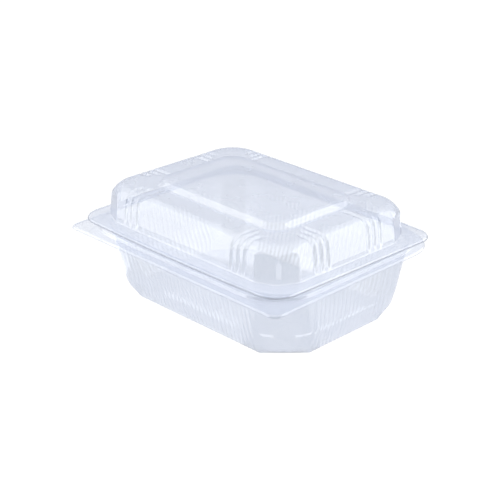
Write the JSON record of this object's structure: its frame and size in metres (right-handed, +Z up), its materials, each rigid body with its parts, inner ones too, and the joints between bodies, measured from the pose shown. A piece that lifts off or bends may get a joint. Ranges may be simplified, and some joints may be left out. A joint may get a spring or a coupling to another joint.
{
  "type": "takeaway meal container",
  "caption": "Clear hinged takeaway meal container: fluted tray with a wide brim and a domed lid with a raised top panel on a living hinge.",
  "frame": {"origin": "middle of the footprint at the underside of the tray", "axes": "+X along the length, +Y towards the hinge side, +Z up; the lid opens on the -Y side"},
  "size_m": [0.1916, 0.149, 0.0801],
  "materials": {
    "clear_plastic": "clear thermoformed sheet with a faint blue-violet tint, glossy"
  },
  "bodies": {
    "tray": {"tray": "clear_plastic"},
    "lid": {"lid": "clear_plastic"}
  },
  "joints": [
    {"name": "lid_hinge", "type": "hinge", "parent": "tray", "child": "lid", "pos_m": [0, 0.07455, 0.04965], "axis": [-1, 0, 0], "range_deg": [-1.3, 180]}
  ]
}
